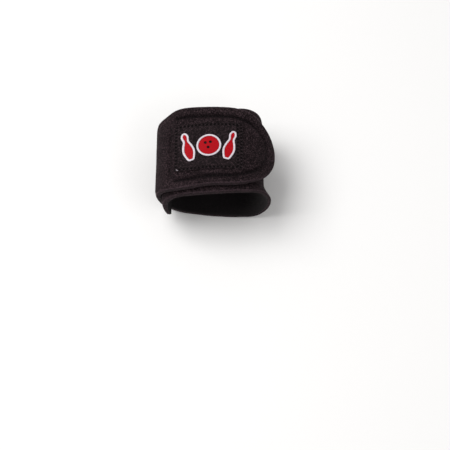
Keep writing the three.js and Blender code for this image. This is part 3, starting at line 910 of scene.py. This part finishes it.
panel_face = -FACE - SEAT_GAP - PANEL_THICKNESS
sew("panel_seam", seam, lambda s, w: band_top(s, w) - SUNK)
sew("panel_seam_back", seam, level_at(panel_face), side=-1)

# %% [markdown]
# The hook panel is injection-moulded nylon tape: dark, with a soft gloss and the mould's faint
# unevenness. Its back is thin and smooth, and its rim a little rounded.

# %% Hook panel
# inset, share of the thickness, finish below
MOULDED_EDGE = [
    (0.25, 1.0, 0),
    (0.06, 0.9, 0),
    (0.0, 0.6, 0),
    (0.0, 0.4, 0),
    (0.06, 0.1, 0),
    (0.25, 0.0, 0),
]


def moulded_nylon():
    material, shader = new_material("moulded_nylon", Roughness=0.42, IOR=1.53, Specular_IOR_Level=0.5)
    place = add(material, "ShaderNodeTexCoord")
    cloudy = add(material, "ShaderNodeTexNoise", {
        "Vector": (place, "Object"), "Scale": per_metre(2.5), "Detail": 3,
    })
    show(material, shader, (cloudy, "Fac"), ((0.3, "#131112"), (0.7, "#211e20")), 0.25, 0.1)
    return material


HOOK_NYLON = moulded_nylon()
panel = make_sheet(
    "hook_panel_tape", panel_net, level_at(-FACE - SEAT_GAP), level_at(panel_face), MOULDED_EDGE,
    [HOOK_NYLON],
)
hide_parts("hook_panel")

# %% [markdown]
# Rows of tiny hooks stand under the panel. They show only where the flap's tip springs up, so each is
# a plain bent peg, about twice as coarse as real, over the whole panel. They reach a little into the
# felt of the turn below, as they do when the wrap is fastened.

# %% Hooks
HOOK_ROW = 1.7  # between rows
HOOK_STEP = 1.5  # between the hooks of a row
HOOK_MARGIN = SEAM_INSET + 1.0  # from the panel's edge
HOOK_RADIUS = 0.16
HOOK_TAPER = (1.3, 1.0, 0.85, 0.5)  # its radius up the hook, as shares
HOOK_SIDES = 5
HOOK_HEIGHT = 0.55
HOOK_BEND = 0.35  # how far its end leans
HOOK_CURL = math.radians(108)  # past 90 degrees the hook comes down again


def hook_room(s, w):
    """True where a hook lies inside the seam."""
    end = panel_end - HOOK_MARGIN
    past = np.clip((s - tip_start) / (end - tip_start), 0, 1)
    half = (panel_half(s) - HOOK_MARGIN) * np.sqrt(1 - past**2)
    return (np.abs(w + PANEL_DROP) < half) & (s < end) & (s > panel_start + HOOK_MARGIN)


def make_hooks():
    """Rows of bent pegs under the panel, as one mesh."""
    edge = round_the_edge(panel_net(HOOK_MARGIN))
    low, high = edge.min(axis=0), edge.max(axis=0)
    s, w = np.meshgrid(np.arange(low[0], high[0], HOOK_STEP), np.arange(low[1], high[1], HOOK_ROW))
    s = s + HOOK_STEP / 2 * (np.arange(len(s)) % 2)[:, None]
    inside = hook_room(s, w)
    feet = np.column_stack([s[inside], w[inside], np.full(inside.sum(), panel_face)])
    rise = np.linspace(0, 1, len(HOOK_TAPER))[:, None]
    radius = HOOK_RADIUS * np.array(HOOK_TAPER)[:, None]
    cos, sin = circle(HOOK_SIDES)
    drop = HOOK_HEIGHT * np.sin(rise * HOOK_CURL)
    rings = (HOOK_BEND * rise**2 + radius * cos, radius * sin, -drop)
    peg = np.stack(np.broadcast_arrays(*rings), axis=-1)
    piece = make_tubes("hooks", feet[:, None, None] + peg, HOOK_NYLON)
    return len(feet)


print(make_hooks(), "hooks")

# %% [markdown]
# The patch is as large as the badge on it asks for, so the badge's sizes come first: a ball between
# two pins that lean outwards, each with a border. The patch has its edges folded under, and is sewn
# down all round, and twice on the thumb side.

# %% The sizes of the badge and its patch
BALL_DIAMETER = 14.5
PIN_HEIGHT = 20.0
PIN_BELLY = 6.6
PIN_LEAN = math.radians(14)
BADGE_GAP = 1.6
BORDER_WIDTH = 1.3
PATCH_SIDE_MARGIN = 2.1
PATCH_TOP_MARGIN = 6.1
PATCH_THICKNESS = 0.7
PATCH_FROM_TIP = 48.6
PATCH_DROP = 1.4
ROW_INSET = 1.3  # from the patch's edge to its stitches
SECOND_ROW = 2.1  # between the two rows on the thumb side
SECOND_ROW_END = 0.8  # from its ends to the first row
SECOND_ROW_POINTS = 100

pin_spread = BALL_DIAMETER / 2 + BORDER_WIDTH + BADGE_GAP + PIN_BELLY / 2
badge_reach = pin_spread + PIN_HEIGHT / 2 * math.sin(PIN_LEAN) + (PIN_BELLY + BORDER_WIDTH) / 2
patch_reach = badge_reach + PATCH_SIDE_MARGIN
patch_rise = (PIN_HEIGHT + BORDER_WIDTH) / 2 + PATCH_TOP_MARGIN
patch_middle = np.array([strip_length - PATCH_FROM_TIP, -PATCH_DROP])
patch_base = FACE + SEAT_GAP
patch_face = patch_base + PATCH_THICKNESS
badge_base = patch_face + SEAT_GAP


def patch_rows():
    """The patch's stitch rows, as flat paths: the one round it, and the second one."""
    reach, rise = patch_reach - ROW_INSET, patch_rise - ROW_INSET
    round_it = np.array([(-reach, -rise), (reach, -rise), (reach, rise), (-reach, rise)])
    beside, half = reach - SECOND_ROW, rise - SECOND_ROW_END
    second = np.array([(beside, -half), (beside, half)])
    return evenly(round_it + patch_middle, SEAM_STEP), second + patch_middle


first_row, second_row = patch_rows()
second_line = np.linspace(second_row[0], second_row[1], SECOND_ROW_POINTS)
from_rows = distance_to(np.vstack([first_row, second_line]))
from_holes = distance_to(np.vstack([needle_holes(first_row), needle_holes(second_row, False)]))
print("patch:", round(2 * patch_reach, 1), "by", round(2 * patch_rise, 1), "mm")

# %% [markdown]
# The patch is woven polyester twill, as dark as the wrap but flatter, because a tight twill has no
# nap. Its slanting ribs are one diagonal wave over the flat cloth. Flecks of dust and worn fibre
# break them up.

# %% Woven twill
TWILL = 1.0  # spacing of the slanting ribs, drawn twice as coarse as real, to show
FLECK = 1 / 1.1  # spacing of the flecks


def woven_twill():
    material, shader = new_material(
        "woven_twill", Roughness=0.85, IOR=1.55, Specular_IOR_Level=0.08,
        Sheen_Weight=0.02, Sheen_Roughness=0.5, Sheen_Tint=colour("#b08f98"),
    )
    place = add(material, "ShaderNodeAttribute", attribute_name="flat")
    ribs = add(material, "ShaderNodeTexWave", {
        "Vector": (place, "Vector"), "Scale": DIAGONAL_WAVE / TWILL, "Distortion": 1.2,
        "Detail": 2, "Detail Scale": 1.5,
    }, bands_direction="DIAGONAL")
    flecks = add(material, "ShaderNodeTexNoise", {
        "Vector": (place, "Vector"), "Scale": 1 / FLECK, "Detail": 4,
    })
    woven = add(material, "ShaderNodeMath", {
        0: (ribs, "Fac"), 1: 0.15, 2: (flecks, "Fac"),
    }, operation="MULTIPLY_ADD")
    stops = ((0.4, "#0c0809"), (0.6, "#1b1416"), (0.8, "#3e3135"))
    # 020101 is the painted shade of the stitch rows and needle holes
    show(material, shader, (woven, 0), stops, 0.5, 0.15, pressed="#020101")
    return material


TWILL_CLOTH = woven_twill()

# %% [markdown]
# The patch's fold makes its rim soft and round, and the sewing pulls it in along each row, deepest at
# the needle holes. The inner edge of the folded hem shows through as a crease. Along each row the
# cloth is also painted darker, and black at the needle holes, as the shade that falls into them.

# %% The badge's patch
PATCH_PITCH = 0.33
PATCH_CORNER = 1.5
PATCH_CORNER_STEPS = 4
ROW_PULL = 0.3  # how far a row pulls the patch in
ROW_SPREAD = 0.55
HOLE_PULL = 0.45  # and each needle hole further
HOLE_SPREAD = 0.6
CREASE_RISE = 2.2  # the folded hem's inner edge, above the bottom row
CREASE_DEPTH = 0.16
CREASE_SPREAD = 0.4
HEM_PULL = 0.22  # how far the edge is pulled down onto the wrap
HEM_SPREAD = 1.5
ROW_SHADE = 0.3  # painted shade that the sewing gives a row; the needle holes are painted full dark, as the shade in them
ROW_SHADE_SPREAD = 0.6
HOLE_SHADE_SPREAD = 0.85
UNEVEN_PATCH = (0.05, 5.0, 7)
WEAVE = (0.02, 0.8, 8)
# inset, share of the thickness, finish below
FOLDED_EDGE = [
    (0.7, 1.0, 0),
    (0.35, 0.95, 0),
    (0.1, 0.8, 0),
    (0.0, 0.55, 0),
    (0.08, 0.2, 0),
    (0.3, 0.05, 0),
    (0.7, 0.0, 0),
]


def patch_net(inset):
    """Rows of flat points of a rectangle with rounded corners."""
    reach, rise = patch_reach - inset, patch_rise - inset
    angles = np.linspace(0, math.pi / 2, PATCH_CORNER_STEPS, endpoint=False)
    ends = reach - PATCH_CORNER * (1 - np.cos(angles))
    end_halves = rise - PATCH_CORNER * (1 - np.sin(angles))
    count = math.ceil(2 * patch_reach / PATCH_PITCH)
    middle = np.linspace(PATCH_CORNER - reach, reach - PATCH_CORNER, count)
    along = np.concatenate([-ends, middle, ends[::-1]])
    halves = np.concatenate([end_halves, np.full(count, rise), end_halves[::-1]])
    across = np.linspace(-1, 1, math.ceil(2 * patch_rise / PATCH_PITCH))
    s, w = np.broadcast_arrays(along[:, None], halves[:, None] * across)
    return np.stack([s, w], axis=-1) + patch_middle


def patch_top(s, w):
    from_crease = w + PATCH_DROP + patch_rise - ROW_INSET - CREASE_RISE
    row = ROW_PULL * near(from_rows(s, w), ROW_SPREAD)
    hole = HOLE_PULL * near(from_holes(s, w), HOLE_SPREAD)
    crease = CREASE_DEPTH * near(from_crease, CREASE_SPREAD)
    return patch_face + ripple(s, w, *UNEVEN_PATCH) + ripple(s, w, *WEAVE) - row - hole - crease


# Painted shade along the stitch rows, full dark in the needle holes.
def patch_pressed_and_shaded(s, w):
    row = ROW_SHADE * near(from_rows(s, w), ROW_SHADE_SPREAD)
    return np.maximum(row, near(from_holes(s, w), HOLE_SHADE_SPREAD, power=4))


def patch_bottom(s, w):
    """The patch lies on the wrap where it is sewn, and just over it in its middle."""
    a, b = s - patch_middle[0], w - patch_middle[1]
    from_edge = np.minimum(patch_reach - np.abs(a), patch_rise - np.abs(b))
    return patch_base - HEM_PULL * near(np.maximum(from_edge, 0), HEM_SPREAD)


patch = make_sheet(
    "badge_patch", patch_net, patch_top, patch_bottom, FOLDED_EDGE, [TWILL_CLOTH],
    pressed=patch_pressed_and_shaded,
)
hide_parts("label_patch")
sew("patch_seam", first_row, patch_top, finish=SPUN_THREAD_AND_HIGHLIGHT)
sew("patch_second_seam", second_row, patch_top, finish=SPUN_THREAD_AND_HIGHLIGHT, closed=False)

# %% [markdown]
# The badge is machine embroidery, in red with white borders. Embroidery thread is filament rayon,
# smooth and bright, with a soft streak of gloss along each thread, and lies in parallel rows 0.4 mm
# apart. The fills are rows of running stitches that break at a different place in each row. The
# borders are satin stitch, where each thread crosses the border from side to side. Both are modelled
# as ridges, a thread to a ridge.

# %% Rayon thread
THREAD = 0.4  # spacing of the embroidery threads
SAMPLES_PER_THREAD = 4
THREAD_DIP = 0.09  # how far the surface sinks between two threads
STREAK = 1 / 1.4  # length of the streaks of gloss


def rayon_thread(name, dark, light):
    material, shader = new_material(name, Roughness=0.45, IOR=1.53, Specular_IOR_Level=0.08)
    place = add(material, "ShaderNodeAttribute", attribute_name="flat")
    streaks = add(material, "ShaderNodeTexNoise", {
        "Vector": (place, "Vector"), "Scale": 1 / STREAK, "Detail": 3, "Roughness": 0.6,
    })
    show(material, shader, (streaks, "Fac"), ((0.3, dark), (0.7, light)), 0.3, 0.08)
    return material


def threads(count):
    """The thread that each of count rows lies on, and how far the row sinks beside its ridge."""
    number = np.arange(count)
    ridge = np.sin(math.pi * (number % SAMPLES_PER_THREAD + 0.5) / SAMPLES_PER_THREAD)
    return number // SAMPLES_PER_THREAD, THREAD_DIP * (1 - ridge)[:, None]


RED_RAYON = rayon_thread("red_rayon", "#84030e", "#bd0818")
WHITE_RAYON = rayon_thread("white_rayon", "#beb5bd", "#e6dee4")

# %% [markdown]
# A border follows an outline. Its section is a low dome, and every 0.4 mm along the outline the dome
# sinks between two threads. Each thread also ends a little further out or in than its neighbour, as
# sewn edges do.

# %% Satin borders
BORDER_HEIGHT = 0.6
DOME_POINTS = 9
DOME_FALL = 0.85  # 0 for a flat border, 1 for half an ellipse
DOME_SINK = 0.75  # share of the dip between threads that shows on the dome's top
FOOT_REACH = 0.7  # its underside's two corners, as a share of the dome's reach
FOOT_LEVEL = -0.02
RAGGED = 0.05  # how far a thread's end may be out of line
RAGGED_SEED = 11
BALL_POINTS = 90
PIN_POINTS = 60
SOFTEN_STEP = 0.2
SOFTEN_PASSES = 8
PIN_PROFILE = np.array([
    (0, 0.45), (0.12, 0.74), (0.32, 1), (0.52, 0.78), (0.7, 0.4), (0.86, 0.54), (0.96, 0.36), (1, 0.1),
])  # up, out: shares of the pin's height and of half its belly


def ball_outline():
    return BALL_DIAMETER / 2 * np.column_stack(circle(BALL_POINTS))


def pin_half(up):
    return PIN_BELLY / 2 * fair(PIN_PROFILE[:, 0], PIN_PROFILE[:, 1], up)


def pin_outline():
    up = np.linspace(0, 1, PIN_POINTS)
    right = np.column_stack([pin_half(up), (up - 0.5) * PIN_HEIGHT])
    return np.vstack([right, right[::-1] * (-1, 1)])


def lean(points, sign):
    """Moves a pin's own points to its place beside the ball, leaning outwards."""
    cos, sin = math.cos(PIN_LEAN), math.sin(PIN_LEAN) * sign
    out, up = points[..., 0], points[..., 1]
    return np.stack([sign * pin_spread + out * cos + up * sin, up * cos - out * sin], axis=-1)


def soften(loop):
    """Rounds the corners of a closed loop."""
    loop = evenly(loop, SOFTEN_STEP)
    for _ in range(SOFTEN_PASSES):
        loop = (np.roll(loop, 1, axis=0) + 2 * loop + np.roll(loop, -1, axis=0)) / 4
    return loop


def satin_border(name, loop, node):
    """A ridge of satin stitches round a closed outline."""
    path = evenly(soften(loop), THREAD / SAMPLES_PER_THREAD)
    out = -crosswise(np.roll(path, -2, axis=0) - np.roll(path, 2, axis=0))
    thread, sunk = threads(len(path))
    ends = np.random.default_rng(RAGGED_SEED).uniform(-RAGGED, RAGGED, thread.max() + 1)
    reach = (BORDER_WIDTH / 2 + ends[thread])[:, None]
    dome = np.linspace(-1, 1, DOME_POINTS)
    sideways = np.concatenate([dome, [FOOT_REACH, -FOOT_REACH]]) * reach
    height = BORDER_HEIGHT * np.sqrt(1 - DOME_FALL * dome**2)
    upwards = np.concatenate([height, [FOOT_LEVEL, FOOT_LEVEL]])
    sink = np.concatenate([DOME_SINK + (1 - DOME_SINK) * np.abs(dome), [0, 0]])
    places = path[:, None] + out[:, None] * sideways[..., None] + patch_middle
    heights = badge_base + upwards - sunk * sink
    numbers = np.arange(heights.size).reshape(heights.shape)
    piece = make_object(
        name, np.dstack([places, heights]).reshape(-1, 3),
        quads(np.pad(numbers, (0, 1), mode="wrap")), [WHITE_RAYON],
    )
    close_ends(piece)
    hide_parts(node)


satin_border("ball_satin", ball_outline(), "ball_border")
satin_border("pin_left_satin", lean(pin_outline(), -1), "pin_left_border")
satin_border("pin_right_satin", lean(pin_outline(), 1), "pin_right_border")

# %% [markdown]
# A fill is a sheet whose rows lie across its threads, four rows to a thread, so that its top can rise
# and fall with each.

# %% Embroidered fills
FILL_HEIGHT = 0.4
FILL_INSET = BORDER_WIDTH / 2 + 0.1
FILL_EDGE = [(0.1, 1.0, 0), (0.0, 0.7, 0), (0.0, 0.3, 0), (0.1, 0.0, 0)]
FILL_EDGE_DROP = 0.1  # its top round the edge, below the threads' ridges
LEAST_HALF = 0.12  # a fill gets no narrower than twice this
BALL_COLUMNS = 37
PIN_COLUMNS = 13
RUNNING_STITCH = 3.4
BREAK_SHIFT = 0.37  # from a thread's breaks to the next one's, in stitches
BREAK_HALF = 0.06  # half a break's length, in stitches
BREAK_DEPTH = 0.07  # how far the top sinks where a running stitch ends


def embroider(name, rows_at, half_at, place, columns, node):
    """A fill of threads that run across rows_at, each half_at(row) to either side of the middle."""
    def net(inset):
        rows = rows_at * (1 - inset / np.abs(rows_at).max())
        halves = np.maximum(half_at(rows_at) - inset, LEAST_HALF)
        across = np.linspace(-1, 1, columns) * halves[:, None]
        up = np.broadcast_to(rows[:, None], across.shape)
        return place(np.stack([across, up], axis=-1)) + patch_middle

    def top(s, w):
        thread, sunk = threads(len(rows_at))
        across = np.linspace(-1, 1, columns) * half_at(rows_at)[:, None]
        along = (across / RUNNING_STITCH + BREAK_SHIFT * thread[:, None]) % 1
        drop = sunk + BREAK_DEPTH * (np.abs(along - 0.5) < BREAK_HALF)
        if s.shape != drop.shape:
            drop = FILL_EDGE_DROP  # the rings of its edge have no threads
        return badge_base + FILL_HEIGHT - drop

    piece = make_sheet(name, net, top, level_at(badge_base), FILL_EDGE, [RED_RAYON])
    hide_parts(node)
    return piece


def thread_rows(half_height):
    count = 2 * round(half_height / THREAD) * SAMPLES_PER_THREAD
    return np.linspace(-half_height, half_height, count)


def ball_fill_half(row):
    return np.sqrt(np.maximum(ball_fill_radius**2 - row**2, 0))


def pin_fill_half(row):
    return np.maximum(pin_half(row / PIN_HEIGHT + 0.5) - FILL_INSET, LEAST_HALF)


ball_fill_radius = BALL_DIAMETER / 2 - FILL_INSET
ball_rows = thread_rows(ball_fill_radius)
pin_rows = thread_rows(PIN_HEIGHT / 2 - FILL_INSET)
ball = embroider(
    "ball_threads", ball_rows, ball_fill_half, lambda points: points, BALL_COLUMNS, "ball_fill"
)
for side, sign in (("left", -1), ("right", 1)):
    embroider(
        f"pin_{side}_threads", pin_rows, pin_fill_half,
        lambda points, sign=sign: lean(points, sign), PIN_COLUMNS, f"pin_{side}_fill",
    )

# %% [markdown]
# The ball's three finger holes show the dark patch. They could be left out of the net, but its rows
# would then have to bend round them. So they are cut through the fill with a boolean, by cylinders.

# %% Finger holes
FINGER_HOLE = 2.0
FINGER_HOLES = [(-1.1, 0.9), (0.5, 1.1), (-0.2, -0.8)]  # in hole diameters from the ball's centre
DRILL_SIDES = 24
DRILL_LEVELS = (-0.2, 1.0)  # from below the fill to above it


def make_drill(low, high):
    """A cylinder as wide as a finger hole, between two places."""
    axis = Vector(high - low)
    side = axis.orthogonal().normalized()
    other = axis.normalized().cross(side)
    cos, sin = circle(DRILL_SIDES)
    ring = FINGER_HOLE / 2 * MM * (np.outer(cos, side) + np.outer(sin, other))
    ends = np.arange(2 * DRILL_SIDES).reshape(2, DRILL_SIDES)
    walls = quads(np.pad(ends, ((0, 0), (0, 1)), mode="wrap"))[:, ::-1].tolist()
    caps = [ends[0, ::-1].tolist(), ends[1].tolist()]
    mesh = bpy.data.meshes.new("finger_drill")
    mesh.from_pydata(np.vstack([ring + low, ring + high]).tolist(), [], walls + caps)
    drill = bpy.data.objects.new("finger_drill", mesh)
    bpy.context.scene.collection.objects.link(drill)
    return drill


def cut_finger_holes(piece):
    """Cuts the three holes through the ball's fill."""
    bpy.context.view_layer.objects.active = piece
    for hole in FINGER_HOLES:
        s, w = patch_middle + np.array(hole) * FINGER_HOLE
        drill = make_drill(*((wind(s, w, badge_base + h) + origin) * MM for h in DRILL_LEVELS))
        cut = piece.modifiers.new("finger hole", "BOOLEAN")
        cut.object, cut.operation, cut.solver = drill, "DIFFERENCE", "EXACT"
        bpy.ops.object.modifier_apply(modifier=cut.name)
        bpy.data.objects.remove(drill)
    print(piece.name, "now has", len(piece.data.polygons), "faces")


cut_finger_holes(ball)

# %% [markdown]
# One pale thread end was never trimmed, at the patch's lower corner on the little-finger side. It is a
# thin tube along a short curl.

# %% A loose thread end
END_RADIUS = 0.13
END_POINTS = 14
END_START = (0.3, 0.2)  # from the corner of the patch's first row
END_LENGTH = 1.2
END_CURL = 0.9  # how far it bends aside
END_TURN = 2.4  # radians that it curls through
END_RISE = 0.45  # how far its middle stands up


def make_thread_end():
    along = np.linspace(0, 1, END_POINTS)
    curl = first_row[0] + END_START + np.column_stack([
        END_LENGTH * along, -END_CURL * along * np.sin(along * END_TURN),
    ])
    level = patch_face + END_RADIUS + END_RISE * np.sin(along * math.pi)
    piece = lay_thread(
        "loose_thread_end", curl[None], np.gradient(curl, axis=0)[None], level[None],
        np.full(END_POINTS, END_RADIUS), WHITE_RAYON,
    )


make_thread_end()

# %% [markdown]
# The wrap lies on a plain pale floor. Soft light comes from all round, more of it from a broad panel
# high on the left and a little behind the wrap, and a little from a panel in front, on the right. So
# the flap's far rim is lit and the step under its near hem lies in shade, as in the photograph.
# The camera stands where the photograph's did: square to the hand side, 65 degrees above the floor.
# It looks at a point given in the photograph's frame, so the wrap sits off centre as it does there.

# %% Floor, light and camera
IMAGE_SIZE = 450
MM_PER_PIXEL = 0.66  # at the middle of the wrap
MIDDLE_PIXEL = (215.4, 163.1)  # where the middle of the wrap lies in the photograph
CAMERA_ELEVATION = math.radians(65)
CAMERA_DISTANCE = 1200.0
SENSOR_WIDTH = 36.0
FLOOR_REACH = 3.0  # metres, as the lights' places are
LIGHT_ALL_ROUND = 0.42
# name, place, side of the square panel, watts
LAMPS = [
    ("key_panel", (-0.6, 0.12, 1.1), 0.9, 13.5),
    ("fill_panel", (0.7, -0.6, 0.9), 0.8, 2.5),
]

scene = bpy.context.scene


def make_floor():
    mesh = bpy.data.meshes.new("floor")
    corners = [(FLOOR_REACH * x, FLOOR_REACH * y, 0) for x, y in ((-1, -1), (1, -1), (1, 1), (-1, 1))]
    mesh.from_pydata(corners, [], [(0, 1, 2, 3)])
    floor = bpy.data.objects.new("floor", mesh)
    material, _ = new_material("matt_white_paper", Roughness=0.95, Base_Color=colour("#f4f3f2"))
    mesh.materials.append(material)
    scene.collection.objects.link(floor)


def make_light(name, place, size, power):
    """A square area light, aimed at the wrap."""
    light = bpy.data.lights.new(name, "AREA")
    light.size, light.energy = size, power
    lamp = bpy.data.objects.new(name, light)
    lamp.location = place
    lamp.rotation_euler = (-Vector(place)).to_track_quat("-Z", "Y").to_euler()
    scene.collection.objects.link(lamp)


def make_world():
    """Even white light from all round."""
    world = bpy.data.worlds.new("studio")
    world.use_nodes = True
    sky = world.node_tree.nodes["Background"]
    sky.inputs["Color"].default_value = colour("#ffffff")
    sky.inputs["Strength"].default_value = LIGHT_ALL_ROUND
    scene.world = world


def make_camera():
    cos, sin = math.cos(CAMERA_ELEVATION), math.sin(CAMERA_ELEVATION)
    back, up, right = Vector((0, -cos, sin)), Vector((0, sin, cos)), Vector((1, 0, 0))
    aside, below = ((IMAGE_SIZE / 2 - pixel) * MM_PER_PIXEL for pixel in MIDDLE_PIXEL)
    aim = (cad_low + cad_high) / 2 + (right * aside - up * below) * MM
    data = bpy.data.cameras.new("camera")
    data.sensor_width = SENSOR_WIDTH
    data.lens = SENSOR_WIDTH * CAMERA_DISTANCE / (IMAGE_SIZE * MM_PER_PIXEL)
    camera = bpy.data.objects.new("camera", data)
    camera.location = aim + back * CAMERA_DISTANCE * MM
    camera.rotation_euler = back.to_track_quat("Z", "Y").to_euler()
    scene.collection.objects.link(camera)
    scene.camera = camera
    print("camera at", [round(c, 3) for c in camera.location], "lens", round(data.lens, 1))


make_floor()
for lamp in LAMPS:
    make_light(*lamp)
make_world()
make_camera()
scene.view_settings.view_transform = "Standard"
scene.view_settings.look = "None"
